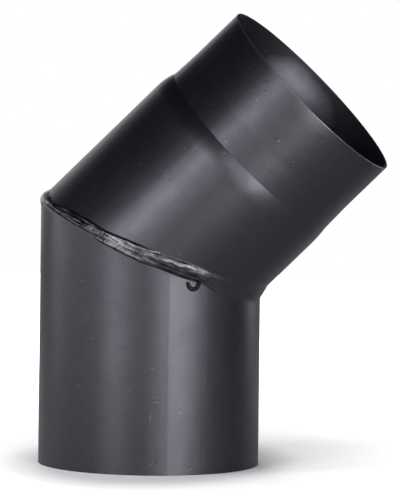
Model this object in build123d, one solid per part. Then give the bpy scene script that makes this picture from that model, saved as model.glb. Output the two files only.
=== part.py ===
from build123d import *
import os
from math import cos, pi, radians, sin, sqrt, tan

# Rigid flue elbow: two mitred lengths of heavy steel flue pipe, butt welded to each other.
# The open lower end takes the spigot of the pipe below. The upper end is swaged down to a
# spigot of its own, which slides into the plain end of the next pipe.
#
# Frame: millimetres, +Z up. The origin is the centre of the open lower end, the lower pipe's
# axis is Z, and the elbow bends towards +X. Its front is -Y.
# Turns round a pipe are counted from the inside of the bend, where the throat is.

# ---- driving dimensions ---------------------------------------------------------------------

# pipe
bore_radius = 75.0            # the size that such pipe is sold by
wall = 2.0
bend_angle = 45.0             # degrees between the two axes
lower_leg = 153.0             # lower end to the point where the axes meet
upper_leg = 158.0             # from that point to the spigot's end
edge_break = 0.3              # rounding of the cut ends

# socket: the lower end, widened on a mandrel to a true cylinder for the spigot that it takes
socket_depth = 62.0
socket_gain = 0.1             # its gain in radius over the pipe
socket_run_out = 12.0         # taper from the socket back to the pipe

# swaged spigot, whose axis lies a little nearer to the throat than the pipe's
spigot_length = 61.0
spigot_straight = 40.0        # true cylinder at the end of that length
spigot_clearance = 0.7        # between the straight part and the socket that it enters
spigot_taper = 0.7            # gain in radius from the straight part to the shoulder
spigot_offset = 0.8
shoulder_length = 14.0
shoulder_steps = 4            # spans of its curved profile

# weld that joins the mitred ends
groove_radius = 1.6           # round groove along the joint, which leaves a thin land at the bore
bead_radius = 6.5             # rounding of the cap's section
bead_sink_side = 4.2          # depth of the section's centre inside the pipe, at the sides,
bead_sink_back = 6.0          # at the back of the bend
bead_sink_throat = 5.1        # and at the throat
bead_drift_side = 3.1         # how far the cap wanders on to the upper pipe, at the sides
bead_drift_back = 0.6         # and at the back and the throat
ring_steps = 12               # spans of half a ring

# longitudinal seams, where each pipe was rolled up from sheet and welded shut
seam_gap = 1.2
seam_cap_radius = 5.0         # rounding of the seam's cap
seam_cap_height = 0.3
seam_cap_clearance = 6.0      # the upper cap ends this far short of the shoulder
lower_seam_turn = 108.0       # degrees
upper_seam_turn = 76.0

# curl of weld wire left hanging from the bead
wire_radius = 0.95
wire_stand_off = 0.3          # air between the wire and the pipe
curl_turn = -59.8             # degrees
curl_radius = 4.0             # of the wire's centre line
curl_hang = 0.5               # from the bead's lower edge down to the curl's centre
curl_sweep = 190.0            # degrees
curl_stem = 2.5               # straight end of the wire, sunk in the bead

# ---- worked out from them -------------------------------------------------------------------

pipe_radius = bore_radius + wall
socket_radius = bore_radius + socket_gain
spigot_radius = socket_radius - spigot_clearance
spigot_root_radius = spigot_radius + spigot_taper
spigot_start = upper_leg - spigot_length
shoulder_start = spigot_start - shoulder_length
bend = radians(bend_angle)
mitre = bend / 2
reach = 2 * pipe_radius       # longer than the mitre is tall, for blanks that are cut to length

joint_centre = Vector(0, 0, lower_leg)


def tilted_frame(angle):
    """Frame at the joint's centre with its z leaning over by the angle and its x on the throat's side."""
    return Plane(joint_centre, x_dir=(cos(angle), 0, -sin(angle)), z_dir=(sin(angle), 0, cos(angle)))


upper_frame = tilted_frame(bend)
mitre_frame = tilted_frame(mitre)
on_base = (Align.CENTER, Align.CENTER, Align.MIN)


# ---- pipes ----------------------------------------------------------------------------------

def lower_form(inset):
    """Solid inside the lower pipe's surface, or this far within it."""
    pipe, socket = pipe_radius - inset, pipe_radius + socket_gain - inset
    blank = Cylinder(socket, socket_depth, align=on_base)
    blank += Pos(0, 0, socket_depth) * Cone(socket, pipe, socket_run_out, align=on_base)
    blank += Pos(0, 0, socket_depth + socket_run_out) * Cylinder(pipe, lower_leg + reach, align=on_base)
    return split(blank, bisect_by=mitre_frame, keep=Keep.BOTTOM)


def shoulder_form(inset):
    """Swaged shoulder, which leaves the pipe tangentially and meets the spigot at a crisp corner."""
    sections = []
    for step in range(shoulder_steps + 1):
        along = step / shoulder_steps
        swage = along ** 2
        radius = pipe_radius + (spigot_root_radius - pipe_radius) * swage - inset
        place = Pos(spigot_offset * swage, 0, shoulder_start + along * shoulder_length)
        sections.append(upper_frame * place * Circle(radius))
    return loft(sections)


def spigot_form(inset):
    """Slight taper off the shoulder, then the straight part that enters the next pipe."""
    taper_length = spigot_length - spigot_straight
    taper = Cone(spigot_root_radius - inset, spigot_radius - inset, taper_length, align=on_base)
    straight = Cylinder(spigot_radius - inset, spigot_straight, align=on_base)
    return upper_frame * Pos(spigot_offset, 0, spigot_start) * (taper + Pos(0, 0, taper_length) * straight)


def upper_form(inset):
    """Solid inside the upper pipe's surface, or this far within it."""
    barrel = Pos(0, 0, -reach) * Cylinder(pipe_radius - inset, reach + shoulder_start, align=on_base)
    barrel = split(upper_frame * barrel, bisect_by=mitre_frame, keep=Keep.TOP)
    return barrel + shoulder_form(inset) + spigot_form(inset)


def break_rim(pipe, rim_centre):
    """Round both edges of the cut end that lies round this point."""
    rims = pipe.edges().filter_by(GeomType.CIRCLE)
    rims = rims.filter_by(lambda edge: (edge.arc_center - rim_centre).length < edge_break)
    return fillet(rims, edge_break)


# ---- weld along the joint -------------------------------------------------------------------

def cap_line(turn):
    """Depth of the cap's section inside the pipe at this turn, and its drift on to the upper pipe."""
    side_share = sin(turn) ** 2
    sink_end = bead_sink_throat if cos(turn) > 0 else bead_sink_back
    sink = bead_sink_side * side_share + sink_end * (1 - side_share)
    drift = bead_drift_side * side_share + bead_drift_back * (1 - side_share)
    return sink, drift


def groove_line(turn):
    """The joint itself, at the pipe's surface."""
    return 0, 0


def ring(line, rod_radius):
    """Round rod bent round the joint along the line: one half lofted, the other its mirror image."""

    def centre(turn):
        sink, drift = line(turn)
        across = (pipe_radius / cos(mitre) - sink) * cos(turn)
        return Vector(across, (pipe_radius - sink) * sin(turn), drift)

    sections = []
    for step in range(ring_steps + 1):
        turn = pi * step / ring_steps
        nudge = 0.001
        tangent = centre(turn + nudge) - centre(turn - nudge)
        if step in (0, ring_steps):
            tangent = Vector(0, tangent.Y, 0)
        section_plane = Plane(centre(turn), x_dir=(0, 0, 1), z_dir=tangent)
        sections.append(section_plane * Circle(rod_radius))
    half = loft(sections)
    return mitre_frame * (half + mirror(half, about=Plane.XZ))


# ---- longitudinal seams ---------------------------------------------------------------------

def seam_slot(turn):
    """Gap between the rolled sheet's two edges, through the wall from end to end."""
    slot = Box(6 * wall, seam_gap, 4 * reach)
    return Rot(0, 0, turn) * Pos(bore_radius, 0, 0) * slot


def seam_cap(turn, bottom, top):
    """Bar whose crest stands proud of the pipe, with a rounded upper end."""
    bar = Cylinder(seam_cap_radius, top - bottom, align=on_base)
    end = Pos(0, 0, top - bottom) * Sphere(seam_cap_radius)
    sunk = pipe_radius + seam_cap_height - seam_cap_radius
    return Rot(0, 0, turn) * Pos(sunk, 0, bottom) * (bar + end)


def seam_weld(pipe, form, slot, cap, joint_side):
    """Metal that fills the slot and crowns it, up to the weld along the joint."""
    crown = split(cap, bisect_by=mitre_frame, keep=joint_side) - form
    return (pipe & slot) + crown - mitre_weld


# ---- curl of weld wire ----------------------------------------------------------------------

def curl():
    """Wire that leaves the bead downwards and curls back up, lying close along the pipe."""
    turn = radians(curl_turn)
    sink, drift = cap_line(turn)
    bead_edge = sqrt(bead_radius ** 2 - sink ** 2) - drift
    joint_height = lower_leg - pipe_radius * cos(turn) * tan(mitre)
    height = joint_height - bead_edge / cos(mitre) - curl_hang
    out = pipe_radius + wire_stand_off + wire_radius
    wire_plane = Plane(
        (out * cos(turn), out * sin(turn), height),
        x_dir=(-sin(turn), cos(turn), 0),
        z_dir=(cos(turn), sin(turn), 0),
    )
    hook = CenterArc((0, 0), curl_radius, 0, -curl_sweep)
    stem = Line((curl_radius, curl_stem), (curl_radius, 0))
    path = wire_plane * (stem + hook)
    start = Plane(path @ 0, z_dir=path % 0)
    return sweep(start * Circle(wire_radius), path=path)


# ---- assembly -------------------------------------------------------------------------------

lower_core, upper_core = lower_form(0), upper_form(0)
spigot_end = upper_frame.from_local_coords(Vector(spigot_offset, 0, upper_leg))
lower_tube = break_rim(lower_core - lower_form(wall), Vector(0, 0, 0))
upper_tube = break_rim(upper_core - upper_form(wall), spigot_end)

groove = ring(groove_line, groove_radius)
cores = lower_core + upper_core
mitre_weld = (ring(cap_line, bead_radius) - cores) + (groove & cores)

lower_slot = seam_slot(lower_seam_turn)
upper_slot = upper_frame * seam_slot(upper_seam_turn)
lower_cap = seam_cap(lower_seam_turn, edge_break, lower_leg + reach)
upper_cap = upper_frame * seam_cap(upper_seam_turn, -reach, shoulder_start - seam_cap_clearance)

nodes = {
    "lower_pipe": lower_tube - lower_slot - groove,
    "upper_pipe": upper_tube - upper_slot - groove,
    "mitre_weld": mitre_weld,
    "lower_seam_weld": seam_weld(lower_tube, lower_core, lower_slot, lower_cap, Keep.BOTTOM),
    "upper_seam_weld": seam_weld(upper_tube, upper_core, upper_slot, upper_cap, Keep.TOP),
    "weld_wire_curl": curl() - cores - mitre_weld,
}

os.makedirs("parts", exist_ok=True)
for name, solid in nodes.items():
    export_step(solid, f"parts/{name}.step")
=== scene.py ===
from math import copysign, cos, exp, pi, radians, sin, tan

import bpy
from mathutils import Matrix, Vector, noise


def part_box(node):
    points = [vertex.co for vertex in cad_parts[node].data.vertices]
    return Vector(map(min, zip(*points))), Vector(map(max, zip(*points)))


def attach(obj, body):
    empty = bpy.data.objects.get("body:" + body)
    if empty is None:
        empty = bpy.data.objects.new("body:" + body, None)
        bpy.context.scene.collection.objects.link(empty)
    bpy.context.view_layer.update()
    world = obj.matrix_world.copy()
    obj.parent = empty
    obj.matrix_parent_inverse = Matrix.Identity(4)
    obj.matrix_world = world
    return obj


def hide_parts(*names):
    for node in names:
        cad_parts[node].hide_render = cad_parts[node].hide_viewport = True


# Looks of a welded flue elbow: dark satin heat-resistant paint on two pipes, an uneven weld bead
# between them, a curl of weld wire, and a plain studio round it.
#
# Frame: metres, +Z up. The origin is the centre of the open lower end, the elbow bends towards +X
# and its front is -Y. A turn round a pipe is counted from the throat (+X), so the front is at -90
# degrees and the back of the bend at 180.

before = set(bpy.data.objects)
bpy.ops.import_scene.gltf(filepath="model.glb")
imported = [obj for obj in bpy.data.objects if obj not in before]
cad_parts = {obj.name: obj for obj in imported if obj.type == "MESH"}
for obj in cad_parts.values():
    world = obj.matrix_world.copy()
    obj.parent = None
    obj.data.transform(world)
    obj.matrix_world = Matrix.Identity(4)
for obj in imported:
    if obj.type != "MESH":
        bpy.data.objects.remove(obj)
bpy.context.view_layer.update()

MM = 0.001
WALL = 2 * MM
PIPE_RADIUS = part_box("upper_pipe")[1].y
LOWER_LEG = 153 * MM                       # lower end to the point where the two axes meet
UPPER_LEG = 158 * MM                       # from that point to the spigot's end
BEND = radians(45)
MITRE = BEND / 2
JOINT = Vector((0, 0, LOWER_LEG))
UPPER_AXIS = Vector((sin(BEND), 0, cos(BEND)))
UPPER_ACROSS = Vector((cos(BEND), 0, -sin(BEND)))

SHOULDER_START = 83 * MM                   # on the upper pipe's axis, as are the next two
SPIGOT_START = 97 * MM
SPIGOT_STRAIGHT = 118 * MM
SHOULDER_DROP = 1.9 * MM                   # loss of radius over the shoulder
TAPER_DROP = 0.7 * MM                      # and from there to the straight part
SPIGOT_OFFSET = 0.8 * MM                   # of the spigot's axis towards the throat


def ramp(value, low, high):
    """0 below low, 1 above high, and a smooth step between."""
    share = min(max((value - low) / (high - low), 0), 1)
    return share * share * (3 - 2 * share)


def swell(value, at, width):
    """1 at a value, and fading to 0 over about this width either side of it."""
    return exp(-((value - at) / width) ** 2)


def wander(along, across, seed):
    """Smooth random value from about -1 to 1."""
    return noise.noise(Vector((along, across, seed)))


# ---- camera ---------------------------------------------------------------------------------

CAMERA_DISTANCE = 8.0
CAMERA_AZIMUTH = radians(7.134)            # to the right of the object's front
CAMERA_ELEVATION = radians(5.734)
CAMERA_ROLL = radians(0.736)
CAMERA_SIDESTEP = Vector((34.468 * MM, -3.22 * MM))   # to the right and up, which frames the object
FOCAL_PIXELS = 11438.56
IMAGE_HEIGHT = 500
SENSOR = 36.0


def add_camera():
    """Camera at the photograph's place. It looks straight ahead, and its roll is slight."""
    azimuth, elevation = CAMERA_AZIMUTH, CAMERA_ELEVATION
    back = Vector((sin(azimuth) * cos(elevation), -cos(azimuth) * cos(elevation), sin(elevation)))
    level = Vector((0, 0, 1)).cross(back).normalized()
    steep = back.cross(level)
    right = level * cos(CAMERA_ROLL) + steep * sin(CAMERA_ROLL)
    up = back.cross(right)
    data = bpy.data.cameras.new("camera")
    data.sensor_width = SENSOR
    data.lens = FOCAL_PIXELS / IMAGE_HEIGHT * SENSOR
    data.clip_end = 100
    camera = bpy.data.objects.new("camera", data)
    place = JOINT + back * CAMERA_DISTANCE + right * CAMERA_SIDESTEP.x + up * CAMERA_SIDESTEP.y
    camera.matrix_world = Matrix.Translation(place) @ Matrix((right, up, back)).transposed().to_4x4()
    bpy.context.scene.collection.objects.link(camera)
    bpy.context.scene.camera = camera


# ---- studio ---------------------------------------------------------------------------------

LAMP_RING = 1.1                            # distance of the standing lamps from the lower pipe's axis


def softbox(name, azimuth, height, size, power, aim=None):
    """Rectangular lamp that faces the elbow at its own height, or at the height that it is aimed at.

    Azimuth 0 is in front of the elbow and 90 to its right.
    """
    turn = radians(azimuth)
    away = Vector((sin(turn), -cos(turn), 0)) * LAMP_RING
    drop = 0 if aim is None else height - aim
    lamp = area_lamp(name, size, power)
    lamp.location = away + Vector((0, 0, height))
    lamp.rotation_euler = (away + Vector((0, 0, drop))).to_track_quat("Z", "Y").to_euler()


def area_lamp(name, size, power):
    data = bpy.data.lights.new(name, "AREA")
    data.shape = "RECTANGLE"
    data.size, data.size_y = size
    data.energy = power
    lamp = bpy.data.objects.new(name, data)
    lamp.visible_camera = False
    bpy.context.scene.collection.objects.link(lamp)
    return lamp


def add_lamps():
    """Ring of lamps that stand near the floor: an upright pipe mirrors only what is as low as itself."""
    softbox("key_left_low", -27, 0.17, (0.4, 0.3), 0.85)
    softbox("key_left_high", -23, 0.47, (0.38, 0.3), 2.3)
    softbox("left_middle", -8, 0.17, (0.25, 0.3), 0.45)
    softbox("left_foot", -28, 0.05, (0.4, 0.08), 0.55)
    softbox("key_middle", 12, 0.47, (0.25, 0.3), 1.35)
    softbox("key_right", 31.5, 0.17, (0.56, 0.3), 1.1)
    softbox("key_right_foot", 31.5, 0.05, (0.56, 0.08), 4.3)
    softbox("bead_glint", 26, 1.5, (0.35, 0.25), 4.0, aim=0.15)
    softbox("spill_right", 54, 0.17, (0.38, 0.3), 1.4)
    softbox("spill_left", -47, 0.32, (0.38, 0.6), 0.85)
    softbox("side_left", -72, 0.3, (0.6, 0.6), 1.3)
    softbox("side_left_back", -100, 0.3, (0.5, 0.6), 1.7)
    softbox("back_left", -132, 0.35, (0.6, 0.5), 0.8)
    softbox("back", -158, 0.3, (0.5, 0.5), 0.8)
    softbox("side_right", 84, 0.25, (0.5, 0.45), 0.35)
    softbox("back_right", 137, 0.25, (0.3, 0.45), 1.05)


TOP_LAMP = (0.4, 0.4)                      # size of the two high lamps
TOP_LEFT, TOP_LEFT_POWER = (-0.9, -0.55, 1.2), 6.0
TOP_BACK, TOP_BACK_POWER = (-0.3, 1.0, 1.2), 4.0


def light_floor(floor):
    """High lamps at the left and behind that light the floor alone, and cast the elbow's shadow on it."""
    floors = bpy.data.collections.new("lit_from_above")
    floors.objects.link(floor)
    lamps = (("top_left", TOP_LEFT, TOP_LEFT_POWER), ("top_back", TOP_BACK, TOP_BACK_POWER))
    for name, place, power in lamps:
        lamp = area_lamp(name, TOP_LAMP, power)
        lamp.location = place
        lamp.rotation_euler = Vector(place).to_track_quat("Z", "Y").to_euler()
        lamp.light_linking.receiver_collection = floors


# ---- materials --------------------------------------------------------------------------------

class Graph:
    """Short way to build a material: an input is a constant or another node's output."""

    def __init__(self, name):
        self.material = bpy.data.materials.new(name)
        self.material.use_nodes = True
        self.nodes, self.links = self.material.node_tree.nodes, self.material.node_tree.links
        self.shader = self.nodes["Principled BSDF"]

    def feed(self, socket, value):
        if isinstance(value, bpy.types.NodeSocket):
            self.links.new(value, socket)
        else:
            socket.default_value = value

    def node(self, kind, inputs, operation=None):
        node = self.nodes.new("ShaderNode" + kind)
        if operation:
            node.operation = operation
        for name, value in inputs.items():
            self.feed(node.inputs[name], value)
        return node

    def math(self, operation, *values):
        node = self.node("Math", {}, operation)
        for socket, value in zip(node.inputs, values):
            self.feed(socket, value)
        return node.outputs[0]

    def attribute(self, name, output="Fac"):
        """What the mesh's own layer of this name holds."""
        node = self.node("Attribute", {})
        node.attribute_name = name
        return node.outputs[output]

    def place(self):
        """The point of the surface, in metres."""
        return self.node("TexCoord", {}).outputs["Object"]

    def along_pipe(self, place, lean, squeeze):
        """The place turned so that the pipe's axis is Z, and squeezed along it to draw noise out."""
        turned = self.node("VectorRotate", {"Vector": place, "Axis": (0, 1, 0), "Angle": -lean})
        return self.node("VectorMath", {0: turned.outputs[0], 1: (1, 1, squeeze)}, "MULTIPLY").outputs[0]

    def noise(self, place, scale, detail=2.0):
        return self.node("TexNoise", {"Vector": place, "Scale": scale, "Detail": detail}).outputs["Fac"]

    def span(self, value, low, high, start, end):
        """The value's range from low to high, turned into start to end and held there."""
        limits = {"From Min": low, "From Max": high, "To Min": start, "To Max": end}
        return self.node("MapRange", {"Value": value, **limits}).outputs["Result"]

    def color(self, factor, first, second):
        """The first colour where the factor is 0 and the second where it is 1."""
        mix = self.nodes.new("ShaderNodeMix")
        mix.data_type = "RGBA"
        colors = [socket for socket in mix.inputs if socket.type == "RGBA"]
        self.feed(mix.inputs[0], factor)
        self.feed(colors[0], first)
        self.feed(colors[1], second)
        return [socket for socket in mix.outputs if socket.type == "RGBA"][0]

    def bump(self, height, distance, normal=None):
        inputs = {"Height": height, "Distance": distance, "Strength": 1.0}
        if normal:
            inputs["Normal"] = normal
        return self.node("Bump", inputs).outputs["Normal"]

    def cells(self, place, scale):
        """Distance from the nearest of many scattered points."""
        return self.node("TexVoronoi", {"Vector": place, "Scale": scale}).outputs["Distance"]

    def finish(self, color, rough, normal):
        """The material as metallic paint of this colour, roughness and normal."""
        self.feed(self.shader.inputs["Base Color"], color)
        self.feed(self.shader.inputs["Roughness"], rough)
        self.feed(self.shader.inputs["Normal"], normal)
        self.shader.inputs["Metallic"].default_value = 1.0
        return self.material


# ---- studio, continued: what the camera sees behind the object ----------------------------------

WORLD_DIM = (0.04, 0.028, 0.06, 1)         # faint violet light that fills the darkest reflections


def add_world():
    """Nearly black, but white for the camera."""
    world = bpy.data.worlds.new("studio")
    world.use_nodes = True
    nodes, links = world.node_tree.nodes, world.node_tree.links
    path = nodes.new("ShaderNodeLightPath")
    tint = nodes.new("ShaderNodeMix")
    tint.data_type = "RGBA"
    first, second = [socket for socket in tint.inputs if socket.type == "RGBA"]
    first.default_value = WORLD_DIM
    second.default_value = (1, 1, 1, 1)
    result = [socket for socket in tint.outputs if socket.type == "RGBA"][0]
    links.new(path.outputs["Is Camera Ray"], tint.inputs[0])
    links.new(result, nodes["Background"].inputs["Color"])
    nodes["Background"].inputs["Strength"].default_value = 1.0
    bpy.context.scene.world = world


FLOOR_RADIUS = 1.3
FLOOR_SIDES = 96
FLOOR_SEEN, FLOOR_MIRRORED = 0.8, 0.55     # the paint mirrors a darker floor than the camera sees
GLOW_SHADOW_OVAL = (1.2, 0.8, 1.0)                # the camera's glow leaves an oval round the elbow dark, a painted shadow, and grows in two steps: from and to in metres, and its strength
GLOW_NEAR = (0.085, 0.13, 0.34)            # grows in two steps: from and to in metres, and its strength
GLOW_FAR = (0.1, 0.5, 1.05)


def add_floor():
    """Round floor that keeps the shadow. For the camera it fades to pure white away from the elbow, and
    its dimmer glow near the elbow paints a soft shadow round the foot.
    """
    turns = [2 * pi * side / FLOOR_SIDES for side in range(FLOOR_SIDES)]
    points = [(FLOOR_RADIUS * cos(turn), FLOOR_RADIUS * sin(turn), 0) for turn in turns]
    mesh = bpy.data.meshes.new("floor")
    mesh.from_pydata(points, [], [range(FLOOR_SIDES)])
    floor = bpy.data.objects.new("floor", mesh)
    bpy.context.scene.collection.objects.link(floor)
    graph = Graph("floor_white")
    graph.nodes.remove(graph.shader)
    camera = graph.node("LightPath", {}).outputs["Is Camera Ray"]
    diffuse = graph.node("BsdfDiffuse", {"Color": graph.span(camera, 0, 1, FLOOR_MIRRORED, FLOOR_SEEN)})
    oval = graph.node("VectorMath", {0: graph.place(), 1: GLOW_SHADOW_OVAL}, "MULTIPLY").outputs[0]
    reach = graph.node("VectorMath", {0: oval}, "LENGTH").outputs["Value"]
    # The glow is weaker in an oval round the elbow: a painted shadow round its foot, over the real one.
    steps = [graph.span(reach, start, end, 0, most) for start, end, most in (GLOW_NEAR, GLOW_FAR)]
    glow = graph.math("ADD", *steps)
    light = graph.node("Emission", {"Strength": graph.math("MULTIPLY", glow, camera)})
    both = graph.node("AddShader", {0: diffuse.outputs[0], 1: light.outputs[0]})
    graph.links.new(both.outputs[0], graph.nodes["Material Output"].inputs["Surface"])
    mesh.materials.append(graph.material)
    light_floor(floor)


# ---- paints -----------------------------------------------------------------------------------

PAINT = (0.073, 0.071, 0.0815, 1)          # satin dark grey with a slight violet cast
PAINT_DARK = (0.066, 0.064, 0.074, 1)
PAINT_WORN_GLINT = (0.5, 0.5, 0.52, 1)           # lighter on the near half of the spigot's cut edge, worn paint with a painted highlight on it, and a painted highlight beside its front
PAINT_SHEEN = (0.115, 0.112, 0.126, 1)    # and polished beside its front
SHEEN_PLACE = (123 * MM, -73 * MM, 253 * MM)
SHEEN_REACH = (22 * MM, 9 * MM)           # half width round the pipe, and half height along it
PAINT_INSIDE = (0.055, 0.053, 0.064, 1)    # duller inside,
INSIDE_HIGHLIGHT = (0.37, 0.36, 0.425, 1)         # and a paler patch there, a painted highlight on the inner wall behind the mouth
INSIDE_HIGHLIGHT_PLACE = (94 * MM, 71 * MM, 261 * MM)
INSIDE_HIGHLIGHT_REACH = (33 * MM, 14 * MM)
SPECK = (0.16, 0.155, 0.175, 1)
MARK_HIGHLIGHT, MARK_SHADE = (0.34, 0.33, 0.36, 1), (0.02, 0.019, 0.024, 1)
# Small nicks and flecks in the paint of each pipe, drawn as light and dark strokes; the paired strokes are
# painted highlight and painted shade on a nick's two sides. Each: turn in degrees, mm up the pipe's axis
# from its origin, their half width round the pipe and half height along it in mm, and their tone from -1
# (dark) to 1.
LOWER_MARKS = ((-79.0, 51.2, 3.2, 0.7, 0.12), (-79.4, 52.8, 3.6, 0.6, -0.35),
               (-79.6, 54.4, 2.6, 0.6, 0.08), (-84.3, 79.7, 3.4, 0.5, -0.25),
               (-84.3, 78.4, 3.2, 0.5, 0.08), (-84.3, 77.0, 3.4, 0.5, -0.25),
               (-81.9, 40.4, 0.6, 4.0, 0.2), (-66.2, 43.8, 1.2, 1.0, 0.12),
               (-66.4, 46.5, 1.6, 0.8, -0.25), (-107.4, 37.7, 1.6, 0.8, -0.3),
               (-97.1, 50.3, 0.9, 1.4, -0.3))
UPPER_MARKS = ((-82.1, 127.2, 1.1, 0.5, 0.5), (-83.8, 127.4, 1.7, 0.9, -0.6),
               (-76.4, 110.1, 1.1, 0.8, 0.12), (-106.1, 135.9, 1.2, 0.7, 0.2),
               (-105.1, 100.9, 1.0, 0.6, 0.15))
MARK_CORE = 0.5                            # share of a mark's reach that has its full tone
WELD_DARK, WELD_LIGHT = (0.055, 0.055, 0.06, 1), (0.19, 0.19, 0.2, 1)
SHADE_BLACK = (0.004, 0.004, 0.005, 1)            # near-black for painted shade in the weld's crevices, its valley and its lower half; it also darkens the wire curl and part of the bead

# Noise in the paint: its scale per metre and its detail. Bands and streaks are drawn out along the pipe.
CLOUDS, MOTTLE, DIMPLES, GRAIN = (28, 3), (120, 4), (260, 3), (1100, 2)
BANDS, STREAKS = (95, 2), (380, 2)
BANDS_DRAWN, STREAKS_DRAWN = 0.06, 0.03    # share of the scale that is left along the pipe
SPECK_CELLS, DENT_CELLS, SCORE_CELLS = 120.0, 150.0, 45.0   # scattered points, as a scale per metre
SCORES_SQUASHED = 5.0                      # so that they run round the pipe
BAND_DEPTH, STREAK_DEPTH = 0.12 * MM, 0.025 * MM
DIMPLE_DEPTH, DENT_DEPTH, GRAIN_DEPTH = 0.04 * MM, -0.1 * MM, 0.015 * MM
ROUGH, ROUGHER_INSIDE = (0.33, 0.39), 0.2

WELD_PATCHES = (0.16, 0.45, 0.0)           # scale along and across the bead, per mm
WELD_GRAIN, WELD_GRAIN_DEPTH = (900, 3), 0.05 * MM
WELD_ROUGH = (0.22, 0.38)


def patch(graph, turned, lean, centre, around, along):
    """0 in a patch's centre and 1 at its edge. Its sizes are half of it round the pipe and along it."""
    middle = Matrix.Rotation(-lean, 3, "Y") @ Vector(centre)
    offset = graph.node("VectorMath", {0: turned, 1: middle}, "SUBTRACT").outputs[0]
    scale = (1 / around, 1 / around, 1 / along)
    reach = graph.node("VectorMath", {0: offset, 1: scale}, "MULTIPLY").outputs[0]
    return graph.node("VectorMath", {0: reach}, "LENGTH").outputs["Value"]


def add_marks(graph, color, turned, lean, pipe, marks):
    """The color with each of the marks laid over it; paired light and dark strokes are painted highlight
    and painted shade.
    """
    origin, axis, across, profile = pipe
    for turn, height, around, along, tone in marks:
        shift, radius = profile(height * MM)
        spoke = across * cos(radians(turn)) + Vector((0, 1, 0)) * sin(radians(turn))
        centre = origin + axis * height * MM + across * shift + spoke * radius
        reach = patch(graph, turned, lean, centre, around * MM, along * MM)
        strength = graph.span(reach, MARK_CORE, 1.0, abs(tone), 0)
        color = graph.color(strength, color, MARK_HIGHLIGHT if tone > 0 else MARK_SHADE)
    return color


def flue_paint(name, lean, pipe, marks):
    """Satin paint on rolled pipe whose axis leans over: faint bands along it, orange peel, specks, painted
    highlights on and beside the spigot's cut edge and inside its mouth, and painted light and shade on
    small nicks.
    """
    graph = Graph(name)
    place = graph.place()
    turned = graph.along_pipe(place, lean, 1.0)
    inside, edge = graph.attribute("inside"), graph.attribute("edge")
    clouds, mottle = graph.noise(place, *CLOUDS), graph.noise(place, *MOTTLE)

    shade = graph.math("MULTIPLY", graph.math("ADD", clouds, mottle), 0.5)
    color = graph.color(graph.span(shade, 0.4, 0.6, 0.0, 1.0), PAINT, PAINT_DARK)
    # Painted highlight beside the front of the spigot's cut edge.
    from_sheen = patch(graph, turned, lean, SHEEN_PLACE, *SHEEN_REACH)
    sheen = graph.span(graph.math("ADD", from_sheen, clouds), 0.6, 1.5, 1, 0)
    color = graph.color(sheen, color, PAINT_SHEEN)
    # Painted highlight on the inner wall behind the spigot's mouth, its edge broken up by the clouds.
    highlight_reach = patch(graph, turned, lean, INSIDE_HIGHLIGHT_PLACE, *INSIDE_HIGHLIGHT_REACH)
    highlight_reach = graph.math("ADD", highlight_reach, graph.span(clouds, 0, 1, -0.6, 0.6))
    inside_color = graph.color(graph.span(highlight_reach, -0.1, 1.05, 1, 0), PAINT_INSIDE, INSIDE_HIGHLIGHT)
    color = graph.color(inside, color, inside_color)
    color = add_marks(graph, color, turned, lean, pipe, marks)
    # The cut edge is lighter on its near half and beside that highlight: worn paint, with a painted
    # highlight on it.
    beside, near_half = graph.span(from_sheen, 0.55, 0.8, 0.4, 0), graph.span(from_sheen, 4.2, 4.9, 0.6, 0)
    worn_glint = graph.math("MULTIPLY", edge, graph.math("ADD", beside, near_half))
    color = graph.color(worn_glint, color, PAINT_WORN_GLINT)
    speck = graph.span(graph.cells(place, SPECK_CELLS), 0.02, 0.035, 0.7, 0.0)
    squashed = graph.along_pipe(place, lean, SCORES_SQUASHED)
    score = graph.span(graph.cells(squashed, SCORE_CELLS), 0.05, 0.08, 0.8, 0.0)
    score = graph.math("MULTIPLY", score, graph.span(clouds, 0.5, 0.55, 0, 1))
    color = graph.color(graph.math("MAXIMUM", speck, score), color, SPECK)

    rough = graph.span(clouds, 0.3, 0.7, *ROUGH)
    rough = graph.math("ADD", rough, graph.math("MULTIPLY", inside, ROUGHER_INSIDE))

    dents = graph.span(graph.cells(place, DENT_CELLS), 0.06, 0.2, 1, 0)
    dents = graph.math("MULTIPLY", dents, graph.span(mottle, 0.5, 0.56, 0, 1))
    relief = ((graph.noise(graph.along_pipe(place, lean, BANDS_DRAWN), *BANDS), BAND_DEPTH),
              (graph.noise(graph.along_pipe(place, lean, STREAKS_DRAWN), *STREAKS), STREAK_DEPTH),
              (graph.noise(place, *DIMPLES), DIMPLE_DEPTH),
              (dents, DENT_DEPTH),
              (graph.noise(place, *GRAIN), GRAIN_DEPTH))
    wall = graph.attribute("wall", "Vector")
    normal = graph.node("VectorMath", {0: wall}, "NORMALIZE").outputs[0]
    for height, depth in relief:
        normal = graph.bump(height, depth, normal)
    return graph.finish(color, rough, normal)


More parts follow.
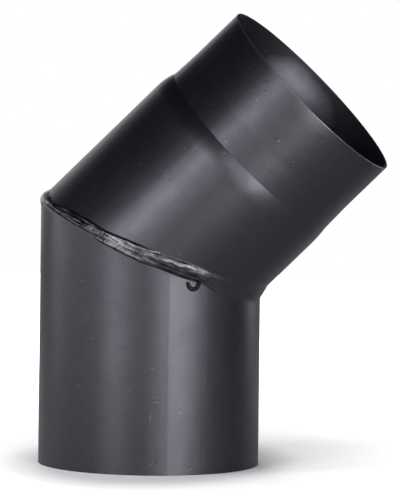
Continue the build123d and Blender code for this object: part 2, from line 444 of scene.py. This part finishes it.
def weld_paint(name):
    """The same paint over weld metal: patchy, black where shade is painted in its crevices, valley and
    lower half, and plain where it meets the pipes.
    """
    graph = Graph(name)
    place = graph.attribute("bead", "Vector")
    bare, black = graph.attribute("bare"), graph.node("SeparateXYZ", {0: place}).outputs["Z"]
    patch_place = graph.node("VectorMath", {0: place, 1: WELD_PATCHES}, "MULTIPLY").outputs[0]
    patches = graph.noise(patch_place, 1.0, 4)
    grain = graph.math("MULTIPLY", graph.noise(graph.place(), *WELD_GRAIN), bare)
    color = graph.color(graph.span(patches, 0.38, 0.62, 0.0, 1.0), WELD_DARK, WELD_LIGHT)
    color = graph.color(bare, PAINT, color)
    # Painted shade: the weld's crevices, valley and lower half turn black.
    color = graph.color(black, color, SHADE_BLACK)
    rough = graph.math("MULTIPLY", graph.span(patches, 0.35, 0.65, *WELD_ROUGH), bare)
    rough = graph.math("ADD", rough, graph.span(bare, 0, 1, sum(ROUGH) / 2, 0))
    rough = graph.math("MAXIMUM", rough, black)
    return graph.finish(color, rough, graph.bump(grain, WELD_GRAIN_DEPTH))


def dress(node, material):
    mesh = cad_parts[node].data
    mesh.materials.clear()
    mesh.materials.append(material)


def lower_profile(_height):
    """Shift of the pipe's centre towards the throat, and its radius, which are the same all the way up."""
    return 0.0, PIPE_RADIUS


def upper_profile(height):
    """The same two for the upper pipe at this height, with its shoulder and spigot."""
    swage = min(max((height - SHOULDER_START) / (SPIGOT_START - SHOULDER_START), 0), 1) ** 2
    taper = min(max((height - SPIGOT_START) / (SPIGOT_STRAIGHT - SPIGOT_START), 0), 1)
    return SPIGOT_OFFSET * swage, PIPE_RADIUS - SHOULDER_DROP * swage - TAPER_DROP * taper


SLOPE_STEP = 0.01 * MM                     # over which the slope of a pipe's wall is measured
INSIDE_DEPTH = 0.75 * WALL                 # a face this deep under the outside belongs to the inside
EDGE_DEPTH = 0.4 * MM                      # and one this near the pipe's end to its cut edge
CORNER_PULL = 0.03                         # share by which a face's corner is drawn to its centre
ON_WALL = 0.995                            # a face that is turned further from the wall isn't part of it


def wall_normal(point, origin, axis, across, profile):
    """Direction in which the pipe's outside faces beside this point."""
    offset = point - origin
    height = offset.dot(axis)
    (shift, radius), (next_shift, next_radius) = profile(height), profile(height + SLOPE_STEP)
    spoke = (offset - axis * height - across * shift).normalized()
    slope = (next_radius - radius + (next_shift - shift) * across.dot(spoke)) / SLOPE_STEP
    return (spoke - axis * slope).normalized()


def mark_pipe(node, origin, axis, across, profile, edge_at):
    """Tells the paint where the pipe's inside and its cut edge are, and which way its walls face.

    The mesh's own normals lean over from the cut edge's rounding right along the wall next to it.
    """
    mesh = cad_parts[node].data
    inside, edge, wall = [], [], []
    for face in mesh.polygons:
        offset = face.center - origin
        height = offset.dot(axis)
        shift, radius = profile(height)
        reach = (offset - axis * height - across * shift).length
        inside.append(float(reach < radius - INSIDE_DEPTH))
        edge.append(float(abs(height - edge_at) < EDGE_DEPTH))
        for corner in face.loop_indices:
            point = mesh.vertices[mesh.loops[corner].vertex_index].co.lerp(face.center, CORNER_PULL)
            out = wall_normal(point, origin, axis, across, profile)
            facing = out.dot(face.normal)
            on_wall = abs(facing) > ON_WALL
            wall.extend(out * copysign(1, facing) if on_wall else mesh.corner_normals[corner].vector)
    mesh.attributes.new("inside", "FLOAT", "FACE").data.foreach_set("value", inside)
    mesh.attributes.new("edge", "FLOAT", "FACE").data.foreach_set("value", edge)
    mesh.attributes.new("wall", "FLOAT_VECTOR", "CORNER").data.foreach_set("vector", wall)


# ---- meshes ---------------------------------------------------------------------------------

def lower_surface(turn, below):
    """Point on the lower pipe, this far below the joint's line."""
    x, y = PIPE_RADIUS * cos(turn), PIPE_RADIUS * sin(turn)
    return Vector((x, y, LOWER_LEG - x * tan(MITRE) - below))


def upper_surface(turn, above):
    """Point on the upper pipe, this far above the joint's line."""
    x, y = PIPE_RADIUS * cos(turn), PIPE_RADIUS * sin(turn)
    return JOINT + UPPER_ACROSS * x + Vector((0, y, 0)) + UPPER_AXIS * (x * tan(MITRE) + above)


def skin(name, rows, material, closed, marks):
    """Smooth tube whose sections are the rows of points, closed into a ring or with its ends capped."""
    stations, points = len(rows), len(rows[0])
    spans = stations if closed else stations - 1
    faces = []
    for i in range(spans):
        for k in range(points):
            ahead, up = (i + 1) % stations, (k + 1) % points
            faces.append((i * points + k, ahead * points + k, ahead * points + up, i * points + up))
    if not closed:
        faces.append(tuple(reversed(range(points))))
        faces.append(tuple(range((stations - 1) * points, stations * points)))
    mesh = bpy.data.meshes.new(name)
    mesh.from_pydata([p for row in rows for p in row], [], faces)
    mesh.shade_smooth()
    mesh.materials.append(material)
    bead = mesh.attributes.new("bead", "FLOAT_VECTOR", "POINT")
    bead.data.foreach_set("vector", [part for mark in marks for part in mark[:3]])
    mesh.attributes.new("bare", "FLOAT", "POINT").data.foreach_set("value", [mark[3] for mark in marks])
    piece = bpy.data.objects.new(name, mesh)
    bpy.context.scene.collection.objects.link(piece)
    return piece


# ---- weld bead round the joint ----------------------------------------------------------------

BEAD_STATIONS = 1080                       # round the joint
BEAD_ACROSS, BEAD_UNDER = 72, 6            # points across the bead's face, and under it
BEAD_SUNK = 0.7                            # mm of it that is hidden in the wall
BEAD_TUCKED = 0.1                          # mm that the film's outer edges are below the pipe's face
FILM = 0.06                                # mm that the paint beside the bead stands off the pipe
FILM_PAST = 0.7                            # mm of that paint beyond each edge of the bead
FILM_BELOW = -2.1                          # mm above the joint, where that paint ends at the latest
SEEDS = (3.7, 41.3)                        # of the noise in front and behind

# Lines along the weld, each with its stops at (degrees from the throat, value).
# The first two are its edges, in mm above the joint's line. The lower one steps down where a second
# pass begins at 117 degrees, and again where the bead thickens to a knob at the back.
FOOT = ((0, -4.4), (33, -4.8), (45, -3.5), (56, -1.0), (66, -1.7), (78, -1.7), (88, -2.7), (98, -2.6),
        (109, -1.8), (117, 0.6), (128, 0.8), (140, 1.6), (156, 1.3), (169, -4.0), (180, -4.2))
HEAD = ((0, 7.8), (30, 8.0), (50, 9.0), (68, 10.5), (80, 9.7), (98, 8.6), (110, 7.5), (122, 8.3),
        (134, 8.0), (151, 5.6), (163, 7.0), (172, 8.4), (180, 8.4))
CREST = ((0, 1.3), (12, 1.2), (26, 0.35), (40, 0.3), (56, 1.3), (75, 1.7), (150, 1.6), (180, 1.4))
# Width in mm over which the bead rises from each edge. An ease above 1 starts that rise gently.
FOOT_ROUND = ((0, 6.0), (40, 5.0), (56, 3.4), (80, 3.4), (92, 1.5), (150, 1.5), (168, 8.0),
              (180, 9.0))
HEAD_ROUND = ((0, 6.0), (50, 5.5), (62, 5.0), (84, 4.5), (93, 1.6), (146, 1.3), (160, 5.0),
              (180, 6.0))
FOOT_EASE = ((0, 1.5), (40, 1.5), (55, 0.7), (150, 0.7), (168, 1.6), (180, 1.6))
HEAD_EASE = ((0, 1.5), (60, 1.0), (88, 0.9), (97, 0.7), (146, 0.7), (160, 1.3), (180, 1.0))
# How black the crevice along each edge is: painted shade where the bead meets the pipe.
FOOT_CREVICE = ((38, 0.0), (50, 0.8), (60, 1.0), (152, 1.0), (163, 0.3), (172, 0.0))
HEAD_CREVICE = ((84, 0.0), (92, 0.8), (100, 1.0), (138, 1.0), (150, 0.0))
# Valley between the second pass and the first: its depth in mm, and its place and width.
VALLEY = ((48, 0.0), (62, 0.4), (78, 0.55), (92, 0.35), (103, 0.05), (111, 0.4), (118, 0.4),
          (121, 0.0))
VALLEY_AT, VALLEY_WIDTH = 1.9, 0.8         # mm above the joint's line, and mm
VALLEY_BLACK = 0.9                         # painted shade in the valley: darkness for each mm of its depth
# How much darker the whole bead is at these turns, and the painted shade on its lower half.
BEAD_DARKER = ((118, 0.0), (128, 0.35), (150, 0.35), (158, 0.0))
SHADE_BELOW = ((52, 0.0), (60, 0.7), (76, 0.7), (90, 0.0))
FILLET = ((0, 4.4), (24, 4.0), (50, 1.5), (180, 1.5))   # mm by which the joint's corner is rounded

# Random unevenness: (mm or share, over mm along the weld, place in the noise).
FOOT_DRIFT = ((0.25, 8, 9), (0.12, 2.2, 14))
HEAD_DRIFT = ((0.3, 9, 0), (0.12, 2.5, 5))
VALLEY_DRIFT = ((0.4, 10, 21),)
FOOT_CREVICE_DRIFT, HEAD_CREVICE_DRIFT = ((0.3, 5, 36),), ((0.3, 5, 30),)
CREVICE_MEAN = 0.85                        # share of its darkness that a crevice has on average
RIPPLE_LENGTH, RIPPLE_HEIGHT = 2.6, 0.04   # mm
RIPPLE_BOW = 0.8                           # share of a ripple's length by which its ends trail
RIPPLE_DRIFT = ((0.7, 11, 3),)
FIRM = (30, 52)                            # degrees between which the bead's unevenness sets in
BARE = (40, 66)                            # and between which it stops looking like the pipe


def follow(line, turn):
    """Value of the line at this turn, drawn smoothly through its stops."""
    if turn <= line[0][0]:
        return line[0][1]
    for (start, first), (end, last) in zip(line, line[1:]):
        if turn <= end:
            return first + (last - first) * ramp(turn, start, end)
    return line[-1][1]


def drift(parts, along, seed):
    """Sum of these parts' random values at this place along the weld."""
    return sum(most * wander(along / length, place, seed) for most, length, place in parts)


def joint_surface(turn, place, fillet):
    """Point of the two pipes this far above the joint, and the way up along them from there."""
    low, corner, high = lower_surface(turn, fillet), lower_surface(turn, 0), upper_surface(turn, fillet)
    share = min(max((place / fillet + 1) / 2, 0), 1)
    beyond = min(place + fillet, 0) + max(place - fillet, 0)
    slope = ((corner - low) * (1 - share) + (high - corner) * share) / fillet
    rounded = low * (1 - share) ** 2 + corner * (2 * share * (1 - share)) + high * share ** 2
    return rounded + slope * beyond, slope


def eased(inward, length, ease):
    """0 at an edge and 1 from this length inwards of it, with a rounded rise between."""
    share = min(max(inward / length, 0), 1)
    return (1 - (1 - share) ** 2) ** ease


def bead_section(turn_degrees):
    """Row of points round the bead, and for each its place along and across, darkness and bareness."""
    turn, side = radians(turn_degrees), abs(turn_degrees)
    seed = SEEDS[0] if turn_degrees < 0 else SEEDS[1]
    along = PIPE_RADIUS / MM * turn
    firm = ramp(side, *FIRM)
    foot = follow(FOOT, side) + firm * drift(FOOT_DRIFT, along, seed)
    head = follow(HEAD, side) + firm * drift(HEAD_DRIFT, along, seed)
    bottom, top = min(foot - FILM_PAST, FILM_BELOW), head + FILM_PAST
    crest, fillet = follow(CREST, side), follow(FILLET, side) * MM
    foot_round, foot_ease = follow(FOOT_ROUND, side), follow(FOOT_EASE, side)
    head_round, head_ease = follow(HEAD_ROUND, side), follow(HEAD_EASE, side)
    foot_black = follow(FOOT_CREVICE, side) * (CREVICE_MEAN + drift(FOOT_CREVICE_DRIFT, along, seed))
    head_black = follow(HEAD_CREVICE, side) * (CREVICE_MEAN + drift(HEAD_CREVICE_DRIFT, along, seed))
    valley, valley_at = follow(VALLEY, side), VALLEY_AT + drift(VALLEY_DRIFT, along, seed)
    ahead = Vector((-sin(turn), cos(turn), sin(turn) * tan(MITRE)))
    places = [bottom + (top - bottom) * k / BEAD_ACROSS for k in range(BEAD_ACROSS + 1)]
    places += [top + (bottom - top) * (k + 0.5) / BEAD_UNDER for k in range(BEAD_UNDER)]
    row, marks = [], []
    for number, place in enumerate(places):
        inward = min(place - foot, head - place)
        across = 2 * (place - foot) / (head - foot) - 1
        shape = eased(place - foot, foot_round, foot_ease) * eased(head - place, head_round, head_ease)
        lumps = (0.06 + 0.1 * firm) * wander(along / 6, place * 0.35, seed + 2)
        streaks = 0.09 * firm * wander(along / 13, place * 0.9, seed + 7)
        wave = along / RIPPLE_LENGTH + RIPPLE_BOW * across * across + drift(RIPPLE_DRIFT, along, seed)
        ripple = RIPPLE_HEIGHT * firm * sin(2 * pi * wave)
        furrow = valley * swell(place, valley_at, VALLEY_WIDTH)
        height = FILM + shape * (crest * (1 + lumps + streaks) + ripple - furrow)
        if number > BEAD_ACROSS:
            height = -BEAD_SUNK
        elif number in (0, BEAD_ACROSS):
            height = -BEAD_TUCKED
        foot_near = 1 - ramp(abs(place - foot - 0.1), 0.2, 0.55)
        head_near = 1 - ramp(abs(place - head + 0.1), 0.4, 0.9)
        darkened = follow(BEAD_DARKER, side) * ramp(inward, 0, 0.5)
        # Painted shade: the lower half of the bead is darker.
        lower_half = ramp(place, foot, foot + 1.5) * (1 - ramp(across, -0.1, 0.35))
        darkened = max(darkened, follow(SHADE_BELOW, side) * lower_half)
        # Painted shade along both edges, in the valley and on the lower half, and the darker stretch from
        # 118 to 158 degrees.
        black = max(foot_near * foot_black, head_near * head_black, VALLEY_BLACK * furrow, darkened)
        bare = ramp(inward, -0.1, 0.5) * ramp(side, *BARE)
        base, slope = joint_surface(turn, place * MM, fillet)
        row.append(base + ahead.cross(slope).normalized() * height * MM)
        marks.append((along, place, min(black, 1), bare))
    return row, marks


def add_mitre_weld(material):
    rows, marks = [], []
    for station in range(BEAD_STATIONS):
        row, row_marks = bead_section(360 * station / BEAD_STATIONS - 180)
        rows.append(row)
        marks += row_marks
    bead = skin("weld_bead", rows, material, True, marks)
    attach(bead, "root")
    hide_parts("mitre_weld")


# ---- curl of weld wire under the bead -----------------------------------------------------------

CURL_TURN = radians(-59.8)
CURL_HEIGHT = 133.97 * MM                  # of the centre of its loop
CURL_RADIUS = 4.0 * MM
CURL_STEM = 2.5 * MM                       # straight end of the wire, sunk in the bead
CURL_SWEEP = radians(196)
CURL_STATIONS, CURL_SIDES = 60, 16
WIRE_RADIUS = 1.05 * MM
WIRE_OUT = 1.25 * MM                       # from the pipe's face to the middle of the wire
WIRE_WANDER = 0.12 * MM                    # by which its loop is uneven
WIRE_END = 0.985                           # share of the wire's length at which its end is rounded off
WIRE_LEAST = 0.3                           # share of its radius that is left at the very end
WIRE_MELT = (0.5, 0.62, 0.22)              # how much thicker it is, at which share, and over what width
WIRE_BLACK = 0.75


def add_curl(material):
    """Loop that hangs from the bead, thickest at its bottom, where the wire melted."""
    out = Vector((cos(CURL_TURN), sin(CURL_TURN), 0))
    ahead, up = Vector((-sin(CURL_TURN), cos(CURL_TURN), 0)), Vector((0, 0, 1))
    centre = out * (PIPE_RADIUS + WIRE_OUT) + up * CURL_HEIGHT
    length = CURL_STEM + CURL_RADIUS * CURL_SWEEP
    melt, melt_at, melt_width = WIRE_MELT
    rows, marks = [], []
    for station in range(CURL_STATIONS + 1):
        share = station / CURL_STATIONS
        gone = share * length - CURL_STEM
        bend = max(gone, 0) / CURL_RADIUS
        spoke = ahead * cos(bend) - up * sin(bend)
        point = centre + spoke * CURL_RADIUS + up * max(-gone, 0)
        point += spoke * WIRE_WANDER * wander(share * 5, 0, 8.1) * ramp(share, 0, 0.2)
        ball = (1 - ramp(share, WIRE_END, 1.0)) ** 0.5
        radius = WIRE_RADIUS * (1 + 0.05 * wander(share * 9, 3, 2.2)) * max(ball, WIRE_LEAST)
        thick = radius * (1 + melt * swell(share, melt_at, melt_width))
        row = []
        for side in range(CURL_SIDES):
            angle = 2 * pi * side / CURL_SIDES
            row.append(point + spoke * cos(angle) * thick + out * sin(angle) * radius)
            marks.append((share * 30, sin(angle), WIRE_BLACK, 1.0))
        rows.append(row)
    curl = skin("wire_curl", rows, material, False, marks)
    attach(curl, "root")
    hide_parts("weld_wire_curl")


# ---- the whole scene --------------------------------------------------------------------------

lower_form = (Vector((0, 0, 0)), Vector((0, 0, 1)), Vector((1, 0, 0)), lower_profile)
upper_form = (JOINT, UPPER_AXIS, UPPER_ACROSS, upper_profile)
for node in ("lower_pipe", "lower_seam_weld"):
    mark_pipe(node, *lower_form, 0.0)
for node in ("upper_pipe", "upper_seam_weld"):
    mark_pipe(node, *upper_form, UPPER_LEG)
lower_paint = flue_paint("flue_paint_lower", 0.0, lower_form, LOWER_MARKS)
upper_paint = flue_paint("flue_paint_upper", BEND, upper_form, UPPER_MARKS)
bead_paint = weld_paint("weld_paint")
dress("lower_pipe", lower_paint)
dress("lower_seam_weld", lower_paint)
dress("upper_pipe", upper_paint)
dress("upper_seam_weld", upper_paint)
add_mitre_weld(bead_paint)
add_curl(bead_paint)

add_camera()
add_lamps()
add_world()
add_floor()

bpy.context.scene.view_settings.view_transform = "Standard"
